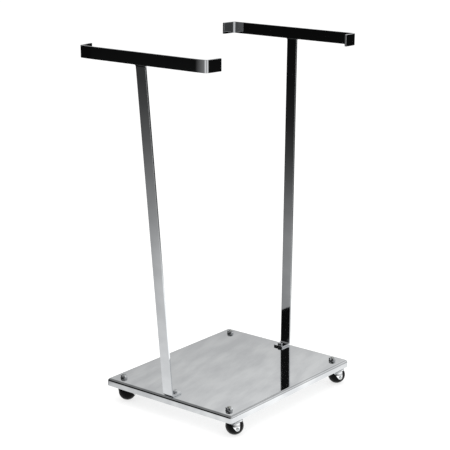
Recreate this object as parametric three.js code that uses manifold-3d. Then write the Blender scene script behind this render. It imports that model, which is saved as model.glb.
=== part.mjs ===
// Valet stand: two flat-bar stands bolted to a folded steel tray that rolls on four hooded ball casters.
// Millimetres, +Z up. X runs along the hanging bars, Y from the front stand to the rear stand.
import * as THREE from "three";
import { mergeVertices } from "three/addons/utils/BufferGeometryUtils.js";
import Module from "manifold-3d";

// ---------------------------------------------------------------- driving dimensions
const TRAY = { width: 440, depth: 540, height: 20, sheet: 2.5, edgeRadius: 8, flatCorner: 0.5 };
const BAR = { width: 32, thickness: 5, innerBend: 4 };
const HANG = { length: 422, tab: 50, bowRadius: 380 };
const STAND = { height: 932, offset: 266, foot: 40 };
// The bar bows in a little before each bend, the front one more.
const FRONT = { lean: 5.6, barLean: 0, tabBend: 82, bow: 6 };
const REAR = { lean: 1.0, barLean: 1.0, tabBend: 88, bow: 0.5 };
const BOLT = { radius: 4, inset: 28, flats: 13, head: 5.3, length: 20 };
const BOLT_NUT = { flats: 13, height: 6.5 };
const BOLT_WASHER = { radius: 8, thickness: 1.6 };
const CASTER = { inset: 34, trail: 15, mountHeight: 45 };
const BALL = { radius: 24.5, face: 7, bore: 5.05 };
const BUSH = { inner: 3.2, outer: 5, halfLength: 23.2 };
const AXLE = { radius: 3, halfLength: 29, head: 4.6, crown: 2.8, headThickness: 1.5 };
const HOOD = { inner: 25.8, outer: 27.3, rim: 16, neck: 8, bore: 3.05 };
const CHEEK = { tip: 6, front: 8, rear: 21, flank: 137, overlap: 1 };
const STEM = { journal: 5.5, end: 26, thread: 5, collar: 9, collarThickness: 4, proud: 1.2 };
const STEM_NUT = { flats: 16, height: 6.4 }; // a thin nut
const STEM_WASHER = { radius: 10, thickness: 1.6 };
const CORNERS = {
  front_left: { sideX: -1, sideY: -1, swivel: 98 },
  front_right: { sideX: 1, sideY: -1, swivel: 56 },
  rear_right: { sideX: 1, sideY: 1, swivel: 58 },
  rear_left: { sideX: -1, sideY: 1, swivel: 64 },
};

const TOUCH = 0.1; // gap between faces that are clamped together
const THREAD_GAP = 0.05;
const RUNNING = 0.15; // radial clearance of the swivel journal
const HOLE_GAP = 0.4;
const WELD_GAP = 0.15;
const STEM_END_GAP = 0.5; // below the swivel journal, inside the hood's neck
const THREAD_CHAMFER = 1;
const CORNER_CHAMFER = 0.58; // tangent of the 30 degree chamfer that turns a hexagon's corners off
const ROUND = 20; // sides of a round piece
const HEXAGON = 6;
const SPHERE_RINGS = 14;
const BALL_STEPS = 10;
const BEND_STEPS = 6;
const BOW_STEPS = 3;
const EDGE_STEPS = 4;
const CORNER_STEPS = 3;
const rad = THREE.MathUtils.degToRad;

const stemX = TRAY.width / 2 - CASTER.inset;
const stemY = TRAY.depth / 2 - CASTER.inset;
const boltY = STAND.offset - BOLT.inset;

// ---------------------------------------------------------------- finishes
const finish = (color, roughness, metalness) => () =>
  new THREE.MeshStandardMaterial({ color, roughness, metalness });
const polishedSheet = finish(0xc9cbcc, 0.16, 1);
const chrome = finish(0xd8dadc, 0.08, 1);
const zincSteel = finish(0xb4b8bb, 0.3, 1);
const blackNylon = finish(0x111113, 0.42, 0);
const whiteNylon = finish(0xe6e4dc, 0.5, 0);

// ---------------------------------------------------------------- solids and booleans
const wasm = await Module();
wasm.setup();

function solid(geometry) {
  const bare = geometry.clone();
  bare.deleteAttribute("normal");
  bare.deleteAttribute("uv");
  const merged = mergeVertices(bare, 1e-4);
  const vertProperties = Float32Array.from(merged.attributes.position.array);
  const triVerts = Uint32Array.from(merged.index.array);
  return new wasm.Manifold(new wasm.Mesh({ numProp: 3, vertProperties, triVerts }));
}

function geometryOf(manifold) {
  const mesh = manifold.getMesh();
  const geometry = new THREE.BufferGeometry();
  geometry.setAttribute("position", new THREE.BufferAttribute(Float32Array.from(mesh.vertProperties), 3));
  geometry.setIndex(new THREE.BufferAttribute(Uint32Array.from(mesh.triVerts), 1));
  return geometry;
}

function piece(name, shape, material) {
  const mesh = new THREE.Mesh(shape.isBufferGeometry ? shape : geometryOf(shape), material());
  mesh.name = name;
  return mesh;
}

function box(lowX, highX, lowY, highY, lowZ, highZ) {
  const geometry = new THREE.BoxGeometry(highX - lowX, highY - lowY, highZ - lowZ);
  return geometry.translate((lowX + highX) / 2, (lowY + highY) / 2, (lowZ + highZ) / 2);
}

// Upright cylinder or prism between two heights.
function upright(radius, low, high, x = 0, y = 0, sides = ROUND) {
  const geometry = new THREE.CylinderGeometry(radius, radius, high - low, sides);
  return geometry.rotateX(Math.PI / 2).translate(x, y, (low + high) / 2);
}

// Body of revolution about Y from [radius, height] pairs, listed from the bottom up on the outside.
function turned(profile, sides = ROUND) {
  return new THREE.LatheGeometry(profile.map(([r, h]) => new THREE.Vector2(r, h)), sides);
}

function arc(cx, cy, radius, from, to, steps) {
  return Array.from({ length: steps + 1 }, (_, i) => {
    const angle = from + ((to - from) * i) / steps;
    return new THREE.Vector2(cx + radius * Math.cos(angle), cy + radius * Math.sin(angle));
  });
}

function extruded(points, depth) {
  return new THREE.ExtrudeGeometry(new THREE.Shape(points), { depth, bevelEnabled: false });
}

// ---------------------------------------------------------------- fasteners
// Hexagon with its corners turned off, standing on z = 0.
function hexagon(flats, height) {
  const corner = flats / 2 / Math.cos(Math.PI / HEXAGON);
  const chamfer = (corner - flats / 2) * CORNER_CHAMFER;
  const turning = turned([
    [0, 0],
    [flats / 2, 0],
    [corner, chamfer],
    [corner, height - chamfer],
    [flats / 2, height],
    [0, height],
  ]).rotateX(Math.PI / 2);
  return solid(upright(corner, 0, height, 0, 0, HEXAGON)).intersect(solid(turning));
}

function hexNut(flats, height, threadRadius) {
  return hexagon(flats, height).subtract(solid(upright(threadRadius + THREAD_GAP, -1, height + 1)));
}

function washer(radius, hole, thickness) {
  return solid(upright(radius, 0, thickness)).subtract(solid(upright(hole, -1, thickness + 1)));
}

function hexBolt(flats, head, radius, length) {
  return hexagon(flats, head).add(solid(upright(radius, -length, head / 2)));
}

// ---------------------------------------------------------------- base tray
// Pressed sheet: a round-edged block less a smaller one, cut off at the skirt's lower edge.
function roundEdgedBlock(radius, top) {
  const cornerX = TRAY.width / 2 - TRAY.edgeRadius - TRAY.flatCorner;
  const cornerY = TRAY.depth / 2 - TRAY.edgeRadius - TRAY.flatCorner;
  const turns = [[1, 1], [-1, 1], [-1, -1], [1, -1]];
  const outline = turns.flatMap(([x, y], i) => {
    const from = (i * Math.PI) / 2;
    return arc(x * cornerX, y * cornerY, TRAY.flatCorner, from, from + Math.PI / 2, CORNER_STEPS);
  });
  const depth = 2 * TRAY.height;
  const bevel = { bevelSize: radius, bevelThickness: radius, bevelSegments: EDGE_STEPS };
  const geometry = new THREE.ExtrudeGeometry(new THREE.Shape(outline), { depth, ...bevel });
  return geometry.translate(0, 0, top - depth - radius);
}

function baseTray() {
  const { width, depth, height, sheet, edgeRadius } = TRAY;
  let tray = solid(roundEdgedBlock(edgeRadius, 0));
  tray = tray.subtract(solid(roundEdgedBlock(edgeRadius - sheet, -sheet)));
  tray = tray.subtract(solid(box(-width, width, -depth, depth, -4 * height, -height)));
  for (const { sideX, sideY } of Object.values(CORNERS)) {
    const hole = upright(STEM.thread + HOLE_GAP, -2 * sheet, sheet, sideX * stemX, sideY * stemY);
    tray = tray.subtract(solid(hole));
  }
  for (const y of [-boltY, boltY]) {
    tray = tray.subtract(solid(upright(BOLT.radius + HOLE_GAP, -2 * sheet, sheet, 0, y)));
  }
  return piece("base_tray", tray, polishedSheet);
}

// ---------------------------------------------------------------- stands
// A stand is drawn with its outer face rising from the origin and the tray towards +y.
const outerBend = BAR.innerBend + BAR.thickness;
// The post's outer and inner top corners in the (y, z) plane. Its end is cut parallel to the hanging bar.
function postTop(lean, barLean) {
  const rise = STAND.height - BAR.width * Math.cos(barLean);
  const inward = new THREE.Vector2(Math.cos(lean), Math.sin(lean));
  const along = new THREE.Vector2(-Math.sin(lean), Math.cos(lean));
  const outer = new THREE.Vector2(-Math.tan(lean) * rise, rise);
  const inner = outer.clone().addScaledVector(inward, BAR.thickness);
  return { outer, inner: inner.addScaledVector(along, -BAR.thickness * Math.tan(lean - barLean)) };
}

function postSolid(lean, top) {
  const centre = (outerBend * (1 - Math.sin(lean))) / Math.cos(lean);
  const side = [
    new THREE.Vector2(STAND.foot, 0),
    ...arc(centre, outerBend, outerBend, 1.5 * Math.PI, Math.PI + lean, BEND_STEPS),
    top.outer,
    top.inner,
    ...arc(centre, outerBend, BAR.innerBend, Math.PI + lean, 1.5 * Math.PI, BEND_STEPS),
    new THREE.Vector2(STAND.foot, BAR.thickness),
  ];
  const toSide = new THREE.Matrix4().makeBasis(
    new THREE.Vector3(0, 1, 0),
    new THREE.Vector3(0, 0, 1),
    new THREE.Vector3(1, 0, 0),
  );
  const strip = extruded(side, BAR.width).translate(0, 0, -BAR.width / 2).applyMatrix4(toSide);
  const hole = upright(BOLT.radius + HOLE_GAP, -1, BAR.thickness + 1, 0, BOLT.inset);
  return solid(strip).subtract(solid(hole));
}

// Seen from above, with the outer face at y = 0: straight, then a shallow bow, then the bend and the tab.
function hangingBar(bow, bend) {
  const { length, tab, bowRadius } = HANG;
  const reach = bowRadius - outerBend;
  const bendX = length / 2 - outerBend;
  const bendY = bowRadius - reach * Math.cos(bow);
  const bowX = bendX - reach * Math.sin(bow);
  const start = -Math.PI / 2;
  const along = new THREE.Vector2(Math.cos(bend), Math.sin(bend));
  const across = new THREE.Vector2(-along.y, along.x);
  const outside = [
    ...arc(bowX, bowRadius, bowRadius, start, start + bow, BOW_STEPS).slice(0, -1),
    ...arc(bendX, bendY, outerBend, start + bow, start + bend, BEND_STEPS),
  ];
  const inside = [
    ...arc(bendX, bendY, BAR.innerBend, start + bend, start + bow, BEND_STEPS),
    ...arc(bowX, bowRadius, bowRadius - BAR.thickness, start + bow, start, BOW_STEPS).slice(1),
  ];
  const tip = outside.at(-1).clone().addScaledVector(along, tab - outerBend);
  const right = [...outside, tip, tip.clone().addScaledVector(across, BAR.thickness), ...inside];
  const left = [...right].reverse().map(({ x, y }) => new THREE.Vector2(-x, y));
  return extruded([...right, ...left], BAR.width);
}

function stand(prefix, { lean, barLean, tabBend, bow }, turn) {
  const top = postTop(rad(lean), rad(barLean));
  const group = new THREE.Group();
  group.add(piece(`${prefix}_post`, postSolid(rad(lean), top), chrome));

  const head = new THREE.Group();
  const bar = piece(`${prefix}_hanging_bar`, hangingBar(rad(bow), rad(tabBend)), chrome);
  bar.position.z = WELD_GAP;
  head.add(bar);
  head.position.set(0, top.outer.x, top.outer.y);
  head.rotation.x = rad(barLean);
  group.add(head);

  const bolt = piece(`${prefix}_post_bolt`, hexBolt(BOLT.flats, BOLT.head, BOLT.radius, BOLT.length), chrome);
  bolt.position.set(0, BOLT.inset, BAR.thickness + TOUCH);
  const ring = washer(BOLT_WASHER.radius, BOLT.radius + HOLE_GAP, BOLT_WASHER.thickness);
  const boltWasher = piece(`${prefix}_post_washer`, ring, zincSteel);
  const washerZ = -TRAY.sheet - 2 * TOUCH - BOLT_WASHER.thickness;
  boltWasher.position.set(0, BOLT.inset, washerZ);
  const nut = piece(`${prefix}_post_nut`, hexNut(BOLT_NUT.flats, BOLT_NUT.height, BOLT.radius), zincSteel);
  nut.position.set(0, BOLT.inset, washerZ - TOUCH - BOLT_NUT.height);
  group.add(bolt, boltWasher, nut);

  group.rotation.z = turn;
  group.position.set(0, turn === 0 ? -STAND.offset : STAND.offset, TOUCH);
  return group;
}

// ---------------------------------------------------------------- casters
// Drawn about the ball's centre, axle along y, with the swivel stem a trail's length towards -x.
// The ball stands on the flat between two of its corners.
function ballWheel() {
  const { radius, face, bore } = BALL;
  const from = Math.asin(-Math.sqrt(radius * radius - face * face) / radius);
  const surface = arc(0, 0, radius, from, -from, BALL_STEPS).map(({ x, y }) => [x, y]);
  const half = surface.at(-1)[1];
  const ball = turned([[bore, -half], ...surface, [bore, half], [bore, -half]]);
  return ball.rotateY(Math.PI / ROUND);
}

function wheelBush() {
  const { inner, outer, halfLength } = BUSH;
  return turned([
    [inner, -halfLength],
    [outer, -halfLength],
    [outer, halfLength],
    [inner, halfLength],
    [inner, -halfLength],
  ]).rotateY(Math.PI / ROUND);
}

function rivetedAxle() {
  const { radius, halfLength, head, crown, headThickness } = AXLE;
  const under = halfLength - headThickness;
  return turned([
    [0, -halfLength],
    [crown, -halfLength],
    [head, -under],
    [radius, -under],
    [radius, under],
    [head, under],
    [crown, halfLength],
    [0, halfLength],
  ]);
}

const neckTop = CASTER.mountHeight - TRAY.sheet - TOUCH - STEM.collarThickness - TOUCH;

// Spherical cap with two cheeks that taper down to the axle, and a neck that turns on the stem.
function hood() {
  const far = 2 * HOOD.outer;
  const inner = solid(new THREE.SphereGeometry(HOOD.inner, ROUND, SPHERE_RINGS).rotateX(Math.PI / 2));
  const outer = solid(new THREE.SphereGeometry(HOOD.outer, ROUND, SPHERE_RINGS).rotateX(Math.PI / 2));
  const cap = solid(box(-far, far, -far, far, HOOD.rim, far));
  const cheek = [
    new THREE.Vector2(CHEEK.front, HOOD.rim + CHEEK.overlap),
    new THREE.Vector2(-CHEEK.rear, HOOD.rim + CHEEK.overlap),
    ...arc(0, 0, CHEEK.tip, rad(-CHEEK.flank), 0, BEND_STEPS),
  ];
  const cheeks = extruded(cheek, 2 * far).rotateX(Math.PI / 2).translate(0, far, 0);
  const neck = solid(upright(HOOD.neck, HOOD.rim, neckTop, -CASTER.trail));
  const bore = solid(upright(STEM.journal + RUNNING, STEM.end - STEM_END_GAP, far, -CASTER.trail));
  const axleHole = solid(new THREE.CylinderGeometry(HOOD.bore, HOOD.bore, 2 * far, ROUND));
  return outer.intersect(cap.add(solid(cheeks))).add(neck).subtract(inner).subtract(bore).subtract(axleHole);
}

// Stem with z = 0 at the tray's top face.
function stem() {
  const { journal, end, thread, collar, collarThickness, proud } = STEM;
  const underTray = -TRAY.sheet - TOUCH;
  const top = STEM_WASHER.thickness + STEM_NUT.height + 2 * TOUCH + proud;
  return turned([
    [0, end - CASTER.mountHeight],
    [journal, end - CASTER.mountHeight],
    [journal, underTray - collarThickness],
    [collar, underTray - collarThickness],
    [collar, underTray],
    [thread, underTray],
    [thread, top - THREAD_CHAMFER],
    [thread - THREAD_CHAMFER, top],
    [0, top],
  ]).rotateX(Math.PI / 2);
}

function caster(corner, { sideX, sideY, swivel }) {
  const group = new THREE.Group();
  group.position.set(sideX * stemX, sideY * stemY, 0);

  group.add(piece(`${corner}_stem`, stem(), zincSteel));
  const ring = washer(STEM_WASHER.radius, STEM.thread + HOLE_GAP, STEM_WASHER.thickness);
  const stemWasher = piece(`${corner}_stem_washer`, ring, chrome);
  stemWasher.position.z = TOUCH;
  const nut = piece(`${corner}_stem_nut`, hexNut(STEM_NUT.flats, STEM_NUT.height, STEM.thread), chrome);
  nut.position.z = STEM_WASHER.thickness + 2 * TOUCH;
  group.add(stemWasher, nut);

  const fork = new THREE.Group();
  fork.rotation.z = rad(swivel);
  fork.position.set(
    CASTER.trail * Math.cos(rad(swivel)),
    CASTER.trail * Math.sin(rad(swivel)),
    -CASTER.mountHeight,
  );
  fork.add(
    piece(`${corner}_hood`, hood(), chrome),
    piece(`${corner}_axle`, rivetedAxle(), zincSteel),
    piece(`${corner}_ball_wheel`, ballWheel(), blackNylon),
    piece(`${corner}_wheel_bush`, wheelBush(), whiteNylon),
  );
  group.add(fork);
  return group;
}

// ---------------------------------------------------------------- assembly
// The origin is on the floor, below the middle of the whole object's bounding box.
const assembly = new THREE.Group();
assembly.add(baseTray(), stand("front", FRONT, 0), stand("rear", REAR, Math.PI));
for (const [corner, place] of Object.entries(CORNERS)) {
  assembly.add(caster(corner, place));
}
const bounds = new THREE.Box3().setFromObject(assembly, true);
const centre = bounds.getCenter(new THREE.Vector3());
assembly.position.set(-centre.x, -centre.y, -bounds.min.z);

const valetStand = new THREE.Group();
valetStand.name = "valet_stand";
valetStand.add(assembly);

export default valetStand;
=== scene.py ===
# %% [markdown]
# # A valet stand in chromed flat bar
# A folded steel tray rolls on ball casters. Posts of flat bar are bolted to it, and each post
# carries a short bar with turned-in ends for a coat or a pair of trousers. Almost everything is
# mirror bright, so the looks depend on clean edges and on what the studio gives the metal to reflect.
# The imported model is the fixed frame, and every piece takes its place from it.

# %% Load the frame
import math

import bmesh
import bpy
from mathutils import Matrix, Vector


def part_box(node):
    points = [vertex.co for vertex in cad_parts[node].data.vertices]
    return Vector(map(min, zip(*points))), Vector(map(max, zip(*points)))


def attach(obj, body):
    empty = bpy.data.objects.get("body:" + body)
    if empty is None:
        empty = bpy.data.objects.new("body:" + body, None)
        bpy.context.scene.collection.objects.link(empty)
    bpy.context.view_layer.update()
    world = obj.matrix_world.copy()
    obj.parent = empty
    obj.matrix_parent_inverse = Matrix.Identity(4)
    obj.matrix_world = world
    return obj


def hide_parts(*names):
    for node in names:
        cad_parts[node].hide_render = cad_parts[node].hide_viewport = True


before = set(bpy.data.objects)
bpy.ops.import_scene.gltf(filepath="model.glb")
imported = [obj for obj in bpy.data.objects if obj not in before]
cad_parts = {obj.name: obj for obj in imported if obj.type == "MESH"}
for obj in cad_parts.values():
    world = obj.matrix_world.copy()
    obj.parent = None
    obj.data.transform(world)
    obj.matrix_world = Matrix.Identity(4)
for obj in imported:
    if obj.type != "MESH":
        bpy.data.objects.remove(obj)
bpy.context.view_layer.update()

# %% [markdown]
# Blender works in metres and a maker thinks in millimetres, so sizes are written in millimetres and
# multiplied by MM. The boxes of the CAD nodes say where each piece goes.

MM = 0.001
NEAR = 0.1  # mm; points that are closer than this to a plane count as lying on it
CORNERS = ("front_left", "front_right", "rear_right", "rear_left")

# %% Places read from the frame
def middle_of(node):
    """The middle of a CAD node's box."""
    low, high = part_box(node)
    return (low + high) / 2


def height_of(node):
    """How tall a CAD node is, in mm."""
    low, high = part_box(node)
    return (high.z - low.z) / MM


# %% [markdown]
# ## Modelling by hand, in code
# An operator works on whatever is selected, as it does for a person at the screen. So one helper
# makes a piece the only selected one, one adds a simple shape with nothing else selected, and two
# pick faces or edges by a rule about their place.

# %% Selecting
def only(piece):
    """Makes a piece the only selected object, and the active one."""
    bpy.ops.object.select_all(action="DESELECT")
    piece.select_set(True)
    bpy.context.view_layer.objects.active = piece


def begin(name, operator, **settings):
    """Adds a simple shape with nothing else selected, and names it."""
    bpy.ops.object.select_all(action="DESELECT")
    operator(**settings)
    bpy.context.object.name = name
    return bpy.context.object


def edit(piece):
    """Opens a piece in edit mode."""
    only(piece)
    bpy.ops.object.mode_set(mode="EDIT")


def done():
    """Leaves edit mode."""
    bpy.ops.object.mode_set(mode="OBJECT")


def pick_faces(rule):
    """Selects only the faces whose centre and normal fit the rule."""
    bpy.ops.mesh.select_mode(type="FACE")
    bpy.ops.mesh.select_all(action="DESELECT")
    mesh = bmesh.from_edit_mesh(bpy.context.object.data)
    for face in mesh.faces:
        face.select_set(rule(face.calc_center_median(), face.normal))
    mesh.select_flush_mode()
    bmesh.update_edit_mesh(bpy.context.object.data)


def pick_edges(rule):
    """Selects only the edges whose two ends fit the rule."""
    bpy.ops.mesh.select_mode(type="EDGE")
    bpy.ops.mesh.select_all(action="DESELECT")
    mesh = bmesh.from_edit_mesh(bpy.context.object.data)
    for edge in mesh.edges:
        edge.select_set(rule(edge.verts[0].co, edge.verts[1].co))
    mesh.select_flush_mode()
    bmesh.update_edit_mesh(bpy.context.object.data)


# %% [markdown]
# A modifier is applied as soon as it has done its work, so that the mesh that is kept is the mesh
# that is seen. Polished metal needs two things at its edges: a small round that catches the light,
# and flat faces whose shading stays flat right up to that round, which weighted normals give.

# %% Modifiers and edges
SHARP, SMOOTH = math.radians(28), math.radians(50)  # sharper is rounded; flatter shades smooth


def modify(piece, kind, **settings):
    """Adds a modifier with its settings, and applies it."""
    only(piece)
    modifier = piece.modifiers.new(kind.title(), kind)
    for name, value in settings.items():
        setattr(modifier, name, value)
    bpy.ops.object.modifier_apply(modifier=modifier.name)


def cut(piece, tool, operation="DIFFERENCE"):
    """Cuts a piece with a tool, or joins or crosses them, and throws the tool away."""
    modify(piece, "BOOLEAN", object=tool, operation=operation, solver="EXACT")
    bpy.data.objects.remove(tool)


def soften(piece, radius, segments=3):
    """Rounds the sharp edges by a radius in mm, and shades smooth with flat faces kept flat."""
    modify(piece, "BEVEL", width=radius * MM, segments=segments, limit_method="ANGLE",
           angle_limit=SHARP, use_clamp_overlap=True)
    bpy.ops.object.shade_smooth_by_angle(angle=SMOOTH)
    modify(piece, "WEIGHTED_NORMAL", keep_sharp=True, weight=100)


# %% [markdown]
# Bolts, washers, axles and wheels are turned parts. On a lathe they come from one outline, and so
# they do here: a plane is merged to a single point, the point is extruded along the outline, and
# the line is spun round the Z axis. A profile is given in millimetres, as (radius, height).

# %% Turning on a lathe
MERGE = 0.002  # mm; points that are closer than this become one
CREST, ROOT = 0.1, 0.45  # half the widths of a thread's crest and groove, as shares of the pitch


def clean_up():
    """Merges points that lie on the same spot, and turns the faces outwards."""
    bpy.ops.mesh.select_all(action="SELECT")
    bpy.ops.mesh.remove_doubles(threshold=MERGE * MM)
    bpy.ops.mesh.select_all(action="SELECT")
    bpy.ops.mesh.normals_make_consistent(inside=False)


def turned(name, profile, steps=64):
    """Spins an outline round the Z axis."""
    piece = begin(name, bpy.ops.mesh.primitive_plane_add, size=MM)
    bpy.ops.object.mode_set(mode="EDIT")
    bpy.ops.mesh.select_mode(type="VERT")
    bpy.ops.mesh.select_all(action="SELECT")
    bpy.ops.mesh.merge(type="CENTER")
    bpy.ops.transform.translate(value=(profile[0][0] * MM, 0, profile[0][1] * MM))
    for (from_r, from_z), (to_r, to_z) in zip(profile, profile[1:]):
        step = ((to_r - from_r) * MM, 0, (to_z - from_z) * MM)
        bpy.ops.mesh.extrude_vertices_move(TRANSFORM_OT_translate={"value": step})
    bpy.ops.mesh.select_all(action="SELECT")
    bpy.ops.mesh.spin(steps=steps, angle=math.tau, center=(0, 0, 0), axis=(0, 0, 1))
    clean_up()
    done()
    return piece


def arc(centre_r, centre_z, radius, start, end, steps):
    """Points of an arc from one angle to another, in degrees."""
    turns = [math.radians(start + (end - start) * i / steps) for i in range(steps + 1)]
    return [(centre_r + radius * math.cos(a), centre_z + radius * math.sin(a)) for a in turns]


def thread(radius, low, high, pitch, depth):
    """The outline of a thread from one height to another. Rings look the same as a helix here."""
    points = []
    for i in range(int((high - low) / pitch)):
        crest = low + (i + 0.5) * pitch
        points += [(radius - depth, crest - ROOT * pitch), (radius, crest - CREST * pitch)]
        points += [(radius, crest + CREST * pitch), (radius - depth, crest + ROOT * pitch)]
    return points


# %% [markdown]
# What repeats is modelled once, at the origin, and copied. A copy gets its own mesh, is turned and
# moved, and its place is then applied, so that the object sits at the origin as a CAD node does.

# %% Copying a master into place
def placed(master, name, location, turn=0.0):
    """A copy of a master with a mesh of its own, turned about Z and moved."""
    piece = master.copy()
    piece.data = master.data.copy()
    piece.name = name
    bpy.context.scene.collection.objects.link(piece)
    piece.matrix_world = Matrix.Translation(location) @ Matrix.Rotation(turn, 4, "Z")
    only(piece)
    bpy.ops.object.transform_apply(location=True, rotation=True, scale=True)
    return piece


# %% [markdown]
# A piece rides on a body of the frame and takes the place of its CAD node. Two things are worth
# measuring as that is done: how far its box is from the node's, and whether its skin is closed.

# %% Tying a piece to the frame
def open_edges(piece):
    """How many edges don't have two faces. A closed piece has none."""
    mesh = bmesh.new()
    mesh.from_mesh(piece.data)
    count = sum(len(edge.link_faces) != 2 for edge in mesh.edges)
    mesh.free()
    return count


def belongs(piece, body, slot, *nodes):
    """Ties a piece to its body, and prints how far its box is from the CAD's, in mm. The slot is not used.
    """
    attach(piece, body)
    print(piece.name, len(piece.data.polygons), "faces, open edges", open_edges(piece))
    if nodes:
        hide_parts(*nodes)
        low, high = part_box(nodes[0])
        points = [vertex.co for vertex in piece.data.vertices]
        under = [round((min(p[i] for p in points) - low[i]) / MM, 2) for i in range(3)]
        over = [round((max(p[i] for p in points) - high[i]) / MM, 2) for i in range(3)]
        print("   off the CAD box by", under, over)


# %% [markdown]
# ## The camera
# The stand is seen from the front right, a little from above, through a long lens, so its upright
# lines hardly draw together. The camera is placed by its angles about a point near the middle.

# %% Camera
VIEW_AZIMUTH, VIEW_ELEVATION = math.radians(38.78), math.radians(15.12)
VIEW_DISTANCE, LENS_MM, SENSOR_MM = 3.833, 112.9, 36
aim = Vector((0.0074, 0.0053, 0.4959))

away = Vector((math.sin(VIEW_AZIMUTH) * math.cos(VIEW_ELEVATION),
               -math.cos(VIEW_AZIMUTH) * math.cos(VIEW_ELEVATION), math.sin(VIEW_ELEVATION)))
camera = bpy.data.objects.new("camera", bpy.data.cameras.new("camera"))
bpy.context.scene.collection.objects.link(camera)
camera.data.lens, camera.data.sensor_width = LENS_MM, SENSOR_MM
camera.location = aim + away * VIEW_DISTANCE
camera.rotation_euler = away.to_track_quat("Z", "Y").to_euler()
bpy.context.scene.camera = camera
print("camera at", [round(x, 3) for x in camera.location])

# %% [markdown]
# ## Materials
# Each finish starts from what it is. Colours are picked as on a screen, in sRGB hex, and turned to
# linear once. One function adds a node, sets it up and links it. A tree is built from its patterns
# to its shader, so every line below uses only what stands above it.

# %% Colours and nodes
MIX_A, MIX_B = 6, 7  # the colour sockets of a Mix node


def linear(hex_colour):
    """The linear RGBA of an sRGB hex colour."""
    channels = [int(hex_colour[i : i + 2], 16) / 255 for i in (1, 3, 5)]
    return [c / 12.92 if c <= 0.04045 else ((c + 0.055) / 1.055) ** 2.4 for c in channels] + [1.0]


def add(tree, kind, sockets=None, **settings):
    """Adds a node with its settings. A socket takes a value, an output, or a node's first output."""
    node = tree.nodes.new(kind)
    for name, value in settings.items():
        setattr(node, name, value)
    for name, value in (sockets or {}).items():
        if isinstance(value, bpy.types.Node):
            value = next(output for output in value.outputs if output.enabled)
        if isinstance(value, bpy.types.NodeSocket):
            tree.links.new(value, node.inputs[name])
        else:
            node.inputs[name].default_value = value
    return node


def blank_material(name):
    """A material with an empty node tree."""
    material = bpy.data.materials.new(name)
    material.use_nodes = True
    material.node_tree.nodes.clear()
    return material, material.node_tree


def paint(piece, material):
    """Gives a piece its one material."""
    piece.data.materials.clear()
    piece.data.materials.append(material)


# %% [markdown]
# ### Polished steel sheet
# The tray is sheet steel, pressed and then polished with a buffing wheel. It mirrors the posts, but
# not perfectly: it is faintly cloudy where the compound dragged, there are fine swirls, and it is
# never quite flat. Noise drawn out along one axis makes lines out of blotches; a Mapping node of
# the Texture kind turns it first and stretches it after, so that the lines can run at any angle. To
# the eye this gives a mirror with soft streaks, whose tint and sharpness change from patch to patch.

# %% Material: polished steel sheet
def polished_steel_sheet():
    """Streaks from the buffing wheel over shallow waves in the sheet."""
    material, tree = blank_material("polished_steel_sheet")
    coords = add(tree, "ShaderNodeTexCoord").outputs["Object"]
    drag = {"Vector": coords, "Rotation": (0, 0, math.radians(105)), "Scale": (3, 1, 1)}
    dragged = add(tree, "ShaderNodeMapping", drag, vector_type="TEXTURE")
    clouds = add(tree, "ShaderNodeTexNoise", {"Vector": dragged, "Scale": 1 / (40 * MM), "Detail": 5.0})
    cloudy = add(tree, "ShaderNodeMapRange", {"Value": clouds, "From Min": 0.35, "From Max": 0.65})
    wheel = {"Vector": coords, "Rotation": (0, 0, math.radians(60)), "Scale": (14, 1, 1)}
    wheeled = add(tree, "ShaderNodeMapping", wheel, vector_type="TEXTURE")
    swirls = add(tree, "ShaderNodeTexNoise", {"Vector": wheeled, "Scale": 1 / (5 * MM), "Detail": 4.0})
    tint = add(tree, "ShaderNodeMix", {0: cloudy, MIX_A: linear("#B9BBBD"), MIX_B: linear("#CBCDCE")},
               data_type="RGBA")
    dull = add(tree, "ShaderNodeMapRange", {"Value": clouds, "From Min": 0.3, "From Max": 0.7,
                                            "To Min": 0.055, "To Max": 0.025})
    rough = add(tree, "ShaderNodeMath", {0: swirls, 1: 0.02, 2: dull}, operation="MULTIPLY_ADD")
    waves = add(tree, "ShaderNodeTexNoise", {"Vector": coords, "Scale": 1 / (120 * MM), "Detail": 0.0})
    uneven = add(tree, "ShaderNodeMath", {0: swirls, 1: 0.01, 2: waves}, operation="MULTIPLY_ADD")
    relief = add(tree, "ShaderNodeBump", {"Height": uneven, "Distance": 0.12 * MM})
    shader = add(tree, "ShaderNodeBsdfPrincipled",
                 {"Base Color": tint, "Metallic": 1.0, "Roughness": rough, "Normal": relief})
    add(tree, "ShaderNodeOutputMaterial", {"Surface": shader})
    return material


# %% [markdown]
# ### Chrome plate on flat bar
# Drawn flat bar is linished along its length before it is plated, so the chrome keeps a faint grain
# that runs with the bar. Chrome reflects about two thirds of the light, slightly blue. Hands leave
# patches that are a touch duller. To the eye this gives almost black or white faces, as in any
# mirror, that are not quite even. The grain runs up a post and along a hanging bar.

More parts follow.
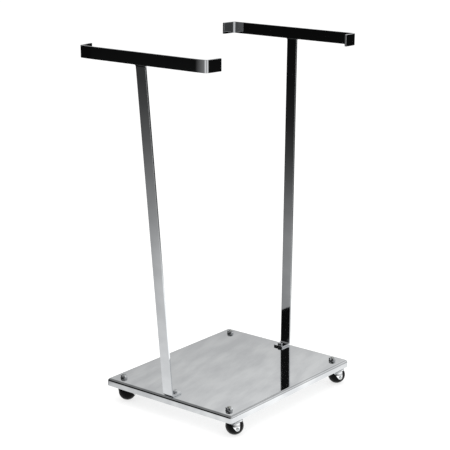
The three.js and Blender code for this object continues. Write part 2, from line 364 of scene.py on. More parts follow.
# %% Material: chromed flat bar
def chromed_flat_bar(name, along):
    """Its grain is drawn out along one axis by a small scale there."""
    material, tree = blank_material(name)
    coords = add(tree, "ShaderNodeTexCoord").outputs["Object"]
    drawn = add(tree, "ShaderNodeMapping", {"Vector": coords, "Scale": along})
    # real grain is about 0.1 mm wide; it is drawn coarser to show at all
    grain = add(tree, "ShaderNodeTexNoise", {"Vector": drawn, "Scale": 1 / (0.9 * MM), "Detail": 2.0})
    hands = add(tree, "ShaderNodeTexNoise", {"Vector": coords, "Scale": 1 / (45 * MM), "Detail": 4.0})
    touched = add(tree, "ShaderNodeMapRange", {"Value": hands, "From Min": 0.3, "From Max": 0.7})
    tint = add(tree, "ShaderNodeMix", {0: touched, MIX_A: linear("#D0D2D4"), MIX_B: linear("#C4C6C8")},
               data_type="RGBA")
    dull = add(tree, "ShaderNodeMapRange", {"Value": hands, "From Min": 0.3, "From Max": 0.7,
                                            "To Min": 0.02, "To Max": 0.04})
    rough = add(tree, "ShaderNodeMath", {0: grain, 1: 0.015, 2: dull}, operation="MULTIPLY_ADD")
    waves = add(tree, "ShaderNodeTexNoise", {"Vector": coords, "Scale": 1 / (60 * MM), "Detail": 1.0})
    uneven = add(tree, "ShaderNodeMath", {0: grain, 1: 0.02, 2: waves}, operation="MULTIPLY_ADD")
    relief = add(tree, "ShaderNodeBump", {"Height": uneven, "Distance": 0.04 * MM})
    shader = add(tree, "ShaderNodeBsdfPrincipled",
                 {"Base Color": tint, "Metallic": 1.0, "Roughness": rough, "Normal": relief})
    add(tree, "ShaderNodeOutputMaterial", {"Surface": shader})
    return material


# %% [markdown]
# ### Chrome plate on small parts
# Nuts, bolt heads and pressed hoods are tumbled in a barrel before plating. That leaves them bright
# but softly dimpled, with a film of dust and polish that is thicker in places. To the eye this
# gives small sparkling facets that are a little greyer than the bars, and hoods that are whiter.

# %% Material: chromed fasteners and hoods
def chromed_small_part(name, bright, filmed, roughness):
    """Dimpled chrome that goes from a bright colour to a filmed one, and from smooth to duller."""
    material, tree = blank_material(name)
    coords = add(tree, "ShaderNodeTexCoord").outputs["Object"]
    # real dimples are well under a millimetre wide; they are drawn coarser to show at all
    dimples = add(tree, "ShaderNodeTexNoise", {"Vector": coords, "Scale": 1 / (1.5 * MM), "Detail": 2.0})
    film = add(tree, "ShaderNodeTexNoise", {"Vector": coords, "Scale": 1 / (9 * MM), "Detail": 4.0})
    thick = add(tree, "ShaderNodeMapRange", {"Value": film, "From Min": 0.35, "From Max": 0.65})
    tint = add(tree, "ShaderNodeMix", {0: thick, MIX_A: linear(bright), MIX_B: linear(filmed)},
               data_type="RGBA")
    rough = add(tree, "ShaderNodeMapRange", {"Value": thick, "To Min": roughness, "To Max": 2 * roughness})
    relief = add(tree, "ShaderNodeBump", {"Height": dimples, "Distance": 0.02 * MM})
    shader = add(tree, "ShaderNodeBsdfPrincipled",
                 {"Base Color": tint, "Metallic": 1.0, "Roughness": rough, "Normal": relief})
    add(tree, "ShaderNodeOutputMaterial", {"Surface": shader})
    return material


# %% [markdown]
# ### Zinc plate
# Stems, axles and the fasteners under the tray are only zinc plated: a grey metal with a satin
# surface, slightly blue and yellow in patches from the passivating bath. To the eye it is plainly
# steel, but never a mirror. Its grain is finer than a hair, so it is drawn coarser here.

# %% Material: zinc plate
def zinc_plated_steel():
    """Satin grey metal with bluish and yellowish patches."""
    material, tree = blank_material("zinc_plated_steel")
    coords = add(tree, "ShaderNodeTexCoord").outputs["Object"]
    bath = add(tree, "ShaderNodeTexNoise", {"Vector": coords, "Scale": 1 / (6 * MM), "Detail": 3.0})
    grain = add(tree, "ShaderNodeTexNoise", {"Vector": coords, "Scale": 1 / (0.6 * MM), "Detail": 2.0})
    patches = add(tree, "ShaderNodeMapRange", {"Value": bath, "From Min": 0.3, "From Max": 0.7})
    tint = add(tree, "ShaderNodeMix", {0: patches, MIX_A: linear("#9FA7AF"), MIX_B: linear("#B3B2A6")},
               data_type="RGBA")
    dull = add(tree, "ShaderNodeMapRange", {"Value": patches, "To Min": 0.3, "To Max": 0.42})
    rough = add(tree, "ShaderNodeMath", {0: grain, 1: 0.08, 2: dull}, operation="MULTIPLY_ADD")
    relief = add(tree, "ShaderNodeBump", {"Height": grain, "Distance": 0.03 * MM})
    shader = add(tree, "ShaderNodeBsdfPrincipled",
                 {"Base Color": tint, "Metallic": 1.0, "Roughness": rough, "Normal": relief})
    add(tree, "ShaderNodeOutputMaterial", {"Surface": shader})
    return material


# %% [markdown]
# ### Moulded nylon
# The ball wheels are black nylon from a spark-eroded mould. Its fine even grain scatters the shine,
# so the specular level is low. Where a wheel rolls, floors scuff it paler and rougher. The wheel carries an
# attribute that says how near a point is to the tread, and the scuffs follow it. To the eye it is a
# deep black that loses its depth only where it has rolled. The grain is drawn a few times coarser
# than a mould gives, so that it shows.

# %% Material: black nylon
NYLON_IOR = 1.53


def black_nylon():
    """Grained black plastic, scuffed where the tread attribute is high."""
    material, tree = blank_material("black_nylon")
    coords = add(tree, "ShaderNodeTexCoord").outputs["Object"]
    tread = add(tree, "ShaderNodeAttribute", attribute_name="tread").outputs["Fac"]
    scuffs = add(tree, "ShaderNodeTexNoise",
                 {"Vector": coords, "Scale": 1 / (2.5 * MM), "Detail": 5.0, "Roughness": 0.7})
    grain = add(tree, "ShaderNodeTexNoise", {"Vector": coords, "Scale": 1 / (0.5 * MM), "Detail": 1.0})
    rubbed = add(tree, "ShaderNodeMapRange", {"Value": scuffs, "From Min": 0.48, "From Max": 0.7})
    worn = add(tree, "ShaderNodeMath", {0: rubbed, 1: tread}, operation="MULTIPLY")
    tint = add(tree, "ShaderNodeMix", {0: worn, MIX_A: linear("#050506"), MIX_B: linear("#161617")},
               data_type="RGBA")
    rough = add(tree, "ShaderNodeMapRange", {"Value": worn, "To Min": 0.36, "To Max": 0.6})
    uneven = add(tree, "ShaderNodeMath", {0: worn, 1: -0.6, 2: grain}, operation="MULTIPLY_ADD")
    relief = add(tree, "ShaderNodeBump", {"Height": uneven, "Distance": 0.04 * MM})
    shader = add(tree, "ShaderNodeBsdfPrincipled",
                 {"Base Color": tint, "Roughness": rough, "Normal": relief, "IOR": NYLON_IOR,
                  "Specular IOR Level": 0.06})
    add(tree, "ShaderNodeOutputMaterial", {"Surface": shader})
    return material


# %% [markdown]
# The bushes are the same plastic, undyed. It is a milky white that yellows a little with age and
# grease, in soft patches, with the same moulded grain.

# %% Material: natural nylon
def natural_nylon():
    """Grained milky plastic, yellowed in patches."""
    material, tree = blank_material("natural_nylon")
    coords = add(tree, "ShaderNodeTexCoord").outputs["Object"]
    ageing = add(tree, "ShaderNodeTexNoise", {"Vector": coords, "Scale": 1 / (5 * MM), "Detail": 3.0})
    grain = add(tree, "ShaderNodeTexNoise", {"Vector": coords, "Scale": 1 / (0.5 * MM), "Detail": 1.0})
    aged = add(tree, "ShaderNodeMapRange", {"Value": ageing, "From Min": 0.3, "From Max": 0.7})
    tint = add(tree, "ShaderNodeMix", {0: aged, MIX_A: linear("#DAD5C4"), MIX_B: linear("#E9E6DC")},
               data_type="RGBA")
    rough = add(tree, "ShaderNodeMapRange", {"Value": aged, "To Min": 0.42, "To Max": 0.55})
    relief = add(tree, "ShaderNodeBump", {"Height": grain, "Distance": 0.02 * MM})
    shader = add(tree, "ShaderNodeBsdfPrincipled",
                 {"Base Color": tint, "Roughness": rough, "Normal": relief, "IOR": NYLON_IOR})
    add(tree, "ShaderNodeOutputMaterial", {"Surface": shader})
    return material


# %% [markdown]
# Every finish is made once and shared by all the pieces that have it. The flat bar needs it twice,
# because its grain runs up in the posts and sideways in the hanging bars.

# %% Make the finishes
SHEET = polished_steel_sheet()
UPRIGHT_BAR = chromed_flat_bar("chromed_flat_bar_upright", along=(1, 1, 1 / 60))
LEVEL_BAR = chromed_flat_bar("chromed_flat_bar_level", along=(1 / 60, 1, 1))
FASTENER = chromed_small_part("chromed_fastener", "#C8CACC", "#A6A8AA", roughness=0.08)
HOOD_CHROME = chromed_small_part("chromed_hood", "#E8E9EA", "#DADCDE", roughness=0.05)
ZINC = zinc_plated_steel()
BLACK_NYLON = black_nylon()
NATURAL_NYLON = natural_nylon()
print(len(bpy.data.materials), "materials")

# %% [markdown]
# ## The tray
# One sheet, pressed so that its edges roll over into a short skirt. It could be made from a flat
# plane with rolled edges, but a block is quicker: its upright corners are bevelled, then its top
# edge, the bottom face is thrown away, and what is left is given the thickness of the sheet.

# %% The tray's outside
SHEET_THICKNESS, EDGE_RADIUS, CORNER_RADIUS = 2.5, 8.0, 8.5
tray_low, tray_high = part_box("base_tray")
tray_size = tray_high - tray_low

tray = begin("pressed_tray", bpy.ops.mesh.primitive_cube_add, size=1, location=middle_of("base_tray"))
tray.scale = tray_size
bpy.ops.object.transform_apply(location=True, rotation=True, scale=True)

edit(tray)
pick_edges(lambda a, b: abs(a.z - b.z) > tray_size.z / 2)
bpy.ops.mesh.bevel(offset=CORNER_RADIUS * MM, segments=10, affect="EDGES")
pick_edges(lambda a, b: min(a.z, b.z) > tray_high.z - NEAR * MM)
bpy.ops.mesh.bevel(offset=EDGE_RADIUS * MM, segments=10, affect="EDGES")
pick_faces(lambda centre, normal: normal.z < -0.9)
bpy.ops.mesh.delete(type="FACE")
done()
print("tray", [round(x / MM) for x in tray_size], "mm")

# %% [markdown]
# The sheet has six round holes, four for the stems and two for the bolts of the posts. Punching
# them is quickest with a cylinder as the cutting tool, and each hole takes its place from the stem
# or bolt that goes through it.

# %% The tray's thickness and holes
HOLE_GAP, STEM_THREAD, BOLT_THREAD = 0.4, 5.0, 4.0


def drill(piece, node, radius):
    """Drills an upright hole through the tray's sheet, in line with a CAD node."""
    at = middle_of(node)
    punch = begin("punch", bpy.ops.mesh.primitive_cylinder_add, vertices=64, radius=radius * MM,
                  depth=4 * SHEET_THICKNESS * MM, location=(at.x, at.y, tray_high.z))
    cut(piece, punch)


modify(tray, "SOLIDIFY", thickness=SHEET_THICKNESS * MM, offset=-1, use_even_offset=True)
for corner in CORNERS:
    drill(tray, f"{corner}_stem", STEM_THREAD + HOLE_GAP)
for side in ("front", "rear"):
    drill(tray, f"{side}_post_bolt", BOLT_THREAD + HOLE_GAP)
soften(tray, radius=0.35, segments=2)
paint(tray, SHEET)
belongs(tray, "frame", "polished_steel_sheet", "base_tray")

# %% [markdown]
# ## Flat bar
# Both stands are made of one flat bar, 32 by 5 mm, cold bent round a small former. Its section is a
# plane. Extruding draws the straight lengths and spinning makes the bends, so that one helper for
# each is enough. The front stand leans out further than the rear one, but its bar is upright.

# %% Bar sizes
BAR_WIDTH, BAR_THICKNESS, INNER_BEND = 32.0, 5.0, 4.0
OUTER_BEND = INNER_BEND + BAR_THICKNESS
BEND_STEPS = 16
FOOT, FOOT_CORNER = 40.0, 4.0
STANDS = {
    "front": {"lean": 5.6, "bar_lean": 0.0, "tab_bend": 82.0, "bow": 6.0, "turn": 0.0},
    "rear": {"lean": 1.0, "bar_lean": 1.0, "tab_bend": 88.0, "bow": 0.5, "turn": 180.0},
}


def bar_section(name, location, rotation):
    """The bar's section as a plane in edit mode, with its place applied."""
    section = begin(name, bpy.ops.mesh.primitive_plane_add, size=1, location=Vector(location) * MM,
                    rotation=rotation)
    section.scale = (BAR_WIDTH * MM, BAR_THICKNESS * MM, 1)
    bpy.ops.object.transform_apply(location=True, rotation=True, scale=True)
    edit(section)
    bpy.ops.mesh.select_mode(type="FACE")
    bpy.ops.mesh.select_all(action="SELECT")
    return section


def extrude(direction, length):
    """Extrudes the selected faces by a length in mm."""
    value = Vector(direction) * length * MM
    bpy.ops.mesh.extrude_region_move(TRANSFORM_OT_translate={"value": value})


def spin_bend(centre, axis, turn):
    """Spins the selected face round a bend. Spin turns clockwise about its axis."""
    bpy.ops.mesh.spin(steps=BEND_STEPS, angle=turn, center=Vector(centre) * MM, axis=axis)


# %% [markdown]
# ## The posts
# A post is one length of flat bar, bent once at the foot. So it is drawn the way it is made: along
# the foot, round the bend and up the lean. Its top is then cut off parallel to the hanging bar,
# which bisect does in one stroke. The outer face rises from the local origin, with the tray
# towards +Y.

# %% A post
def post(name, lean, bar_lean, rise):
    """A post whose outer face is rise mm tall, with its angles in radians."""
    bend_centre = (0, OUTER_BEND * (1 - math.sin(lean)) / math.cos(lean), OUTER_BEND)
    piece = bar_section(name, (0, FOOT, BAR_THICKNESS / 2), (math.pi / 2, 0, 0))
    extrude((0, -1, 0), FOOT - bend_centre[1])
    spin_bend(bend_centre, (1, 0, 0), math.pi / 2 - lean)
    extrude((0, -math.sin(lean), math.cos(lean)), rise / math.cos(lean) + BAR_WIDTH)
    bpy.ops.mesh.select_all(action="SELECT")
    top = Vector((0, -math.tan(lean) * rise, rise)) * MM
    across = (0, -math.sin(bar_lean), math.cos(bar_lean))
    bpy.ops.mesh.bisect(plane_co=top, plane_no=across, use_fill=True, clear_outer=True)
    clean_up()
    pick_edges(lambda a, b: min(a.y, b.y) > (FOOT - NEAR) * MM and abs(a.z - b.z) > MM)
    bpy.ops.mesh.bevel(offset=FOOT_CORNER * MM, segments=6, affect="EDGES")
    done()
    return piece


# %% [markdown]
# ## The hanging bars
# Each bar is the same flat bar with both ends turned in. Cold bending also bows the bar a little
# before the bend, and the chrome shows that at once. Half of the bar is drawn from the middle out,
# and mirrored. The tabs keep sharp corners, as sawn bar does, with only the burr taken off.

# %% A hanging bar
HANG_LENGTH, TAB, TAB_CORNER = 422.0, 50.0, 1.5
BOW_RADIUS = 380.0


def hanging_bar(name, bow, tab_bend):
    """A bar with its outer face at y = 0 and its lower edge at z = 0, with its angles in radians."""
    reach = BOW_RADIUS - OUTER_BEND
    bend_centre = (HANG_LENGTH / 2 - OUTER_BEND, BOW_RADIUS - reach * math.cos(bow), 0)
    bow_centre = (bend_centre[0] - reach * math.sin(bow), BOW_RADIUS, 0)
    piece = bar_section(name, (0, BAR_THICKNESS / 2, BAR_WIDTH / 2), (0, math.pi / 2, 0))
    extrude((1, 0, 0), bow_centre[0])
    spin_bend(bow_centre, (0, 0, -1), bow)
    spin_bend(bend_centre, (0, 0, -1), tab_bend - bow)
    extrude((math.cos(tab_bend), math.sin(tab_bend), 0), TAB - OUTER_BEND)
    clean_up()
    tip = (TAB - OUTER_BEND) * math.sin(tab_bend) * MM
    pick_edges(lambda a, b: min(a.y, b.y) > tip and abs(a.z - b.z) < NEAR * MM)
    bpy.ops.mesh.bevel(offset=TAB_CORNER * MM, segments=4, affect="EDGES")
    pick_faces(lambda centre, normal: abs(centre.x) < NEAR * MM)
    bpy.ops.mesh.delete(type="FACE")
    done()
    modify(piece, "MIRROR", use_axis=(True, False, False), use_mirror_merge=True,
           merge_threshold=MERGE * MM)
    edit(piece)
    clean_up()
    done()
    return piece


# %% [markdown]
# ## The weld
# The post meets the bar end on. The joint is welded, ground flush and plated over, which leaves a
# small hollow fillet in each corner. A block with two rounds cut out of it has just that shape.

# %% A weld
FILLET = 4.0
WELD_GAP = 0.15  # between post and bar in the frame
INTO_BAR = 0.3  # how far the weld reaches into the bar and the post
GROUND_BACK = 0.12  # the weld lies this far below the faces of the bar


def weld(name):
    """The weld under a bar whose lower edge is at z = 0."""
    middle = (0, BAR_THICKNESS / 2 * MM, -FILLET / 2 * MM)
    piece = begin(name, bpy.ops.mesh.primitive_cube_add, size=1, location=middle)
    size = (BAR_WIDTH + 2 * FILLET, BAR_THICKNESS - 2 * GROUND_BACK, FILLET + 2 * INTO_BAR)
    piece.scale = Vector(size) * MM
    bpy.ops.object.transform_apply(location=True, rotation=True, scale=True)
    for side in (-1, 1):
        at = Vector((side * (BAR_WIDTH / 2 + FILLET), BAR_THICKNESS / 2, -FILLET)) * MM
        hollow = begin("hollow", bpy.ops.mesh.primitive_cylinder_add, vertices=48, radius=FILLET * MM,
                       depth=4 * BAR_THICKNESS * MM, location=at, rotation=(math.pi / 2, 0, 0))
        cut(piece, hollow)
    return piece


# %% [markdown]
# A post's own origin is under its outer face, and a bar's is at the middle of its lower edge. Two
# matrices take them to the world: one sets the stand on the tray, and one climbs the post's lean to
# its top. The rear stand is the same thing turned half round.

# %% Set up both stands
for side, plan in STANDS.items():
    lean, bar_lean, tab_bend, bow, turn = (math.radians(angle) for angle in plan.values())
    foot_low, foot_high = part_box(f"{side}_post")
    if side == "front":
        outer_face = foot_high.y - FOOT * MM
    else:
        outer_face = foot_low.y + FOOT * MM
    rise = height_of(f"{side}_post") - BAR_THICKNESS * math.sin(bar_lean)
    to_world = Matrix.Translation((0, outer_face, foot_low.z)) @ Matrix.Rotation(turn, 4, "Z")
    top = Vector((0, -math.tan(lean) * rise, rise)) * MM
    to_bar = to_world @ Matrix.Translation(top) @ Matrix.Rotation(bar_lean, 4, "X")
    to_bar = to_bar @ Matrix.Translation((0, 0, WELD_GAP * MM))
    rows = (
        (post(f"{side}_bent_post", lean, bar_lean, rise), to_world, UPRIGHT_BAR, [f"{side}_post"]),
        (hanging_bar(f"{side}_coat_bar", bow, tab_bend), to_bar, LEVEL_BAR, [f"{side}_hanging_bar"]),
        (weld(f"{side}_ground_weld"), to_bar, UPRIGHT_BAR, []),
    )
    for piece, place, material, nodes in rows:
        soften(piece, radius=0.5)
        piece.data.transform(place)
        paint(piece, material)
        belongs(piece, "frame", "chromed_flat_bar", *nodes)

# %% [markdown]
# ## Nuts and bolts
# A nut is a slice of hexagon bar whose corners are turned off at 30 degrees. Crossing a hexagonal
# prism with a turned blank makes the same curved chamfer as the lathe does. The bolt is the same
# hexagon on a threaded shank.

# %% A hexagon with its corners turned off
THREAD_GAP = 0.05
THREAD_MOUTH = 0.5  # the countersink at each end of a nut's thread
CHAMFER_ANGLE = math.radians(30)
CHAMFER_EXCESS = 1.25  # a little deeper than that angle gives, so that the chamfer can be seen
OVERSIZE = 0.1  # the blank stands out over the corners


def hexagon(name, flats, height, bore=0.0):
    """Stands on z = 0, with two corners on the Y axis. A bore is countersunk at both ends."""
    corner = flats / 2 / math.cos(math.pi / 6)
    chamfer = (corner - flats / 2) * math.tan(CHAMFER_ANGLE) * CHAMFER_EXCESS
    wide = corner + OVERSIZE
    rim = [(flats / 2, 0), (wide, chamfer), (wide, height - chamfer), (flats / 2, height)]
    if bore:
        mouth = bore + THREAD_MOUTH
        hole = [(mouth, height), (bore, height - THREAD_MOUTH), (bore, THREAD_MOUTH), (mouth, 0)]
        piece = turned(name, [(mouth, 0), *rim, *hole])
    else:
        piece = turned(name, [(0, 0), *rim, (0, height)])
    prism = begin("prism", bpy.ops.mesh.primitive_cylinder_add, vertices=6, radius=corner * MM,
                  depth=4 * height * MM)
    cut(piece, prism, "INTERSECT")
    return piece


def washer(name, outer, inner, thickness):
    """A punched washer with its outer corners rolled over."""
    edge = thickness / 6
    profile = [(inner, 0), (outer - edge, 0), (outer, edge), (outer, thickness - edge)]
    profile += [(outer - edge, thickness), (inner, thickness), (inner, 0)]
    return turned(name, profile)


# %% [markdown]
# An M8 bolt holds each post. Its head lies on the foot and its nut under the tray, with a washer
# between. The head and the shank are made apart and joined, as a cold-headed bolt is one piece.

# %% Bolts through the feet
BOLT = {"flats": 13.0, "head": 5.3, "length": 20.0, "pitch": 1.25, "root": 0.6, "plain": 4.0,
        "point": 1.0, "into_head": 2.0}
POST_WASHER_RADIUS = 8.0

head = hexagon("bolt_head", BOLT["flats"], BOLT["head"])
shank = [(0, -BOLT["length"]), (BOLT_THREAD - BOLT["point"], -BOLT["length"])]
shank += thread(BOLT_THREAD, BOLT["root"] - BOLT["length"], -BOLT["plain"], BOLT["pitch"], BOLT["root"])
shank += [(BOLT_THREAD, BOLT["root"] - BOLT["plain"]), (BOLT_THREAD, BOLT["into_head"])]
shank += [(0, BOLT["into_head"])]
cut(head, turned("bolt_shank", shank, steps=48), "UNION")
soften(head, radius=0.25, segments=2)
post_nut = hexagon("post_nut", BOLT["flats"], height_of("front_post_nut"), BOLT_THREAD + THREAD_GAP)
soften(post_nut, radius=0.25, segments=2)
post_washer = washer("post_washer", POST_WASHER_RADIUS, BOLT_THREAD + HOLE_GAP,
                     height_of("front_post_washer"))
soften(post_washer, radius=0.1, segments=1)

for side in STANDS:
    rows = (("bolt", head, FASTENER, "chromed_fastener", BOLT["length"]),
            ("washer", post_washer, ZINC, "zinc_plated_steel", 0),
            ("nut", post_nut, ZINC, "zinc_plated_steel", 0))
    for kind, master, material, slot, below in rows:
        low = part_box(f"{side}_post_{kind}")[0]
        at = middle_of(f"{side}_post_{kind}")
        piece = placed(master, f"{side}_foot_{kind}", (at.x, at.y, low.z + below * MM))
        paint(piece, material)
        belongs(piece, "frame", slot, f"{side}_post_{kind}")
for master in (head, post_nut, post_washer):
    bpy.data.objects.remove(master)

# %% [markdown]
# ## The casters
# Each caster is a ball-shaped wheel on a riveted axle, under a chromed hood that swivels on a
# stem. The hood is pressed from sheet as a cap with two cheeks that taper down to the axle. One
# caster is modelled about the middle of its ball, with the axle along Y and the stem behind at -X.
# The ball is turned with a fine parting line round its middle, where the halves of the mould met.

# %% The ball wheel
BALL = {"radius": 24.19, "face": 7.0, "bore": 5.05, "parting": 0.25, "parting_half": 0.5, "dish": 0.6}
BALL_STEPS, BALL_SMOOTH = 24, math.radians(35)
TREAD_WIDTH = 0.75  # the scuffs fade out this far from the middle, as a share of the radius


def lay_down(piece):
    """Turns a piece from its lathe axis, Z, to the axle, Y."""
    piece.data.transform(Matrix.Rotation(math.pi / 2, 4, "X"))
    return piece


edge_angle = math.degrees(math.acos(BALL["face"] / BALL["radius"]))
half = math.sqrt(BALL["radius"] ** 2 - BALL["face"] ** 2)
lip = math.degrees(BALL["parting_half"] / BALL["radius"])
dished = half - BALL["dish"]
outline = [(BALL["bore"], -dished), (BALL["face"] - BALL["dish"], -dished)]
outline += arc(0, 0, BALL["radius"], -edge_angle, -lip, BALL_STEPS)
outline += [(BALL["radius"] - BALL["parting"], 0)]
outline += arc(0, 0, BALL["radius"], lip, edge_angle, BALL_STEPS)
outline += [(BALL["face"] - BALL["dish"], dished), (BALL["bore"], dished), (BALL["bore"], -dished)]
ball = lay_down(turned("ball_wheel", outline, steps=96))
only(ball)
bpy.ops.object.shade_smooth_by_angle(angle=BALL_SMOOTH)
tread = ball.data.attributes.new("tread", "FLOAT", "POINT")
for vertex in ball.data.vertices:
    aside = abs(vertex.co.y) / (BALL["radius"] * MM)
    tread.data[vertex.index].value = max(0.0, 1 - (aside / TREAD_WIDTH) ** 2)
print("ball wheel", len(ball.data.polygons), "faces")

# %% [markdown]
# The wheel turns on a plain nylon bush, and the bush on a steel pin whose two ends are riveted over
# outside the cheeks. Both are turned, the pin as one outline that is mirrored about its middle.

# %% The bush and the axle
BUSH = {"inner": 3.2, "outer": 5.0, "half": 23.2}
AXLE = {"radius": 3.0, "half": 29.0, "head": 4.6, "under": 27.5}
DOME_START, DOME_END, DOME_STEPS = 20, 80, 6  # degrees, degrees and a count

outline = [(BUSH["inner"], -BUSH["half"]), (BUSH["outer"], -BUSH["half"]), (BUSH["outer"], BUSH["half"])]
outline += [(BUSH["inner"], BUSH["half"]), (BUSH["inner"], -BUSH["half"])]
bush = lay_down(turned("wheel_bush", outline))
soften(bush, radius=0.2, segments=2)

crown = AXLE["half"] - AXLE["under"]
dome = [(r * AXLE["head"] / crown, z)
        for r, z in arc(0, AXLE["under"], crown, DOME_START, DOME_END, DOME_STEPS)]
upper = [(AXLE["radius"], AXLE["under"]), (AXLE["head"], AXLE["under"]), *dome, (0, AXLE["half"])]
lower = [(r, -z) for r, z in reversed(upper)]
axle = lay_down(turned("axle", lower + upper))
soften(axle, radius=0.1, segments=1)
print("bush", len(bush.data.polygons), "faces, axle", len(axle.data.polygons), "faces")

# %% [markdown]
# ### The hood
# A sphere is cut down with bisect. First it is split level with the rim; then, on the half below,
# one cut after another runs along tangents of a small circle round the axle. What is left of that
# half is two tapering cheeks with round tips. The skin then gets the thickness of the sheet.

# %% The hood's skin
HOOD = {"outer": 27.3, "thickness": 1.5, "rim": 16.0, "tip": 6.0, "neck": 8.0, "bore": 5.65}
REAR_FLANK, FRONT_FLANK, TIP_CUTS = -141.8, -6.7, 12  # degrees, degrees and a count
SPHERE = {"segments": 96, "ring_count": 64}
CUT_MERGE = 0.01  # mm; one cut can leave points this close to another's

hood = begin("hood", bpy.ops.mesh.primitive_uv_sphere_add, radius=HOOD["outer"] * MM, **SPHERE)
edit(hood)
bpy.ops.mesh.select_all(action="SELECT")
bpy.ops.mesh.bisect(plane_co=(0, 0, HOOD["rim"] * MM), plane_no=(0, 0, 1))
for i in range(TIP_CUTS + 1):
    turn = math.radians(REAR_FLANK + (FRONT_FLANK - REAR_FLANK) * i / TIP_CUTS)
    outwards = Vector((math.cos(turn), 0, math.sin(turn)))
    pick_faces(lambda centre, normal: centre.z < HOOD["rim"] * MM)
    bpy.ops.mesh.bisect(plane_co=outwards * HOOD["tip"] * MM, plane_no=outwards, clear_outer=True)
bpy.ops.mesh.select_all(action="SELECT")
bpy.ops.mesh.remove_doubles(threshold=CUT_MERGE * MM)
done()
modify(hood, "SOLIDIFY", thickness=HOOD["thickness"] * MM, offset=-1, use_even_offset=True)
print("hood skin", len(hood.data.polygons), "faces")

# %% [markdown]
# The neck is a turned boss with a blind bore for the stem. A sphere that ends within the skin is cut
# out of its foot before the two are joined, so nothing of the boss reaches the wheel. The axle holes
# come last, because one long pin drills both cheeks in line.

# %% The hood's neck and axle holes
NECK_FLOOR, NECK_WALL_FOOT, NECK_FLARE, NECK_CHAMFER = 25.5, 20.5, 1.0, 0.6
RUNNING_GAP = 0.05

ball_centre, stem_centre = middle_of("front_left_ball_wheel"), middle_of("front_left_stem")
trail = (ball_centre - stem_centre).to_2d().length
neck_top = (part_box("front_left_hood")[1].z - ball_centre.z) / MM
flared = HOOD["neck"] + NECK_FLARE
outline = [(0, HOOD["rim"]), (flared, HOOD["rim"]), (flared, NECK_WALL_FOOT)]
outline += [(HOOD["neck"], NECK_FLOOR), (HOOD["neck"], neck_top - NECK_CHAMFER)]
outline += [(HOOD["neck"] - NECK_CHAMFER, neck_top), (HOOD["bore"], neck_top)]
outline += [(HOOD["bore"], NECK_FLOOR), (0, NECK_FLOOR)]
neck = turned("neck", outline)
neck.data.transform(Matrix.Translation((-trail, 0, 0)))
inside = HOOD["outer"] - HOOD["thickness"] / 2
cut(neck, begin("inside", bpy.ops.mesh.primitive_uv_sphere_add, radius=inside * MM, **SPHERE))
cut(hood, neck, "UNION")
pin = begin("pin", bpy.ops.mesh.primitive_cylinder_add, vertices=48, rotation=(math.pi / 2, 0, 0),
            radius=(AXLE["radius"] + RUNNING_GAP) * MM, depth=3 * HOOD["outer"] * MM)
cut(hood, pin)
soften(hood, radius=0.3, segments=2)
print("hood", len(hood.data.polygons), "faces")

# %% [markdown]
# ### Stem, washer and nut
# The stem's journal turns in the hood's neck, a collar bears on the tray from below, and the thread
# comes up through the tray to a thin nut. Only the last turn of the thread shows, above the nut.

# %% The stem, its washer and its nut
STEM = {"journal": 5.5, "collar": 9.0, "collar_thickness": 4.0, "pitch": 1.5, "root": 0.75,
        "journal_edge": 0.5, "edge": 0.6, "bearing_edge": 0.4, "undercut": 0.3, "runout": 0.5, "point": 1.0}
NUT_FLATS, STEM_WASHER_RADIUS = 16.0, 10.0
TOUCH = 0.1  # between the collar and the tray

stem_low, stem_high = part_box("front_left_stem")
stem_foot = (stem_low.z - tray_high.z) / MM
stem_top = (stem_high.z - tray_high.z) / MM
under_tray = -SHEET_THICKNESS - TOUCH
collar_low = under_tray - STEM["collar_thickness"]
outline = [(0, stem_foot), (STEM["journal"] - STEM["journal_edge"], stem_foot)]
outline += [(STEM["journal"], stem_foot + STEM["journal_edge"]), (STEM["journal"], collar_low)]
outline += [(STEM["collar"] - STEM["edge"], collar_low), (STEM["collar"], collar_low + STEM["edge"])]
outline += [(STEM["collar"], under_tray - STEM["bearing_edge"])]
outline += [(STEM["collar"] - STEM["bearing_edge"], under_tray)]
outline += [(STEM_THREAD - STEM["undercut"], under_tray)]
outline += thread(STEM_THREAD, under_tray + STEM["runout"], stem_top - STEM["edge"],
                  STEM["pitch"], STEM["root"])
outline += [(STEM_THREAD - STEM["point"], stem_top), (0, stem_top)]
stem = turned("stem", outline)
soften(stem, radius=0.12, segments=1)
print("stem", len(stem.data.polygons), "faces, from", round(stem_foot, 1), "to", round(stem_top, 1), "mm")
stem_washer = washer("stem_washer", STEM_WASHER_RADIUS, STEM_THREAD + HOLE_GAP,
                     height_of("front_left_stem_washer"))
soften(stem_washer, radius=0.1, segments=1)
stem_nut = hexagon("stem_nut", NUT_FLATS, height_of("front_left_stem_nut"), STEM_THREAD + THREAD_GAP)
soften(stem_nut, radius=0.3, segments=2)

# %% [markdown]
# Each caster stands as its stem and ball do in the frame. The angle from the stem to the ball says
# how far it has swivelled. The hood and the wheel are set about the middle of the ball, the stem
# from the top of the tray, and the washer and the nut from the foot of their own boxes.

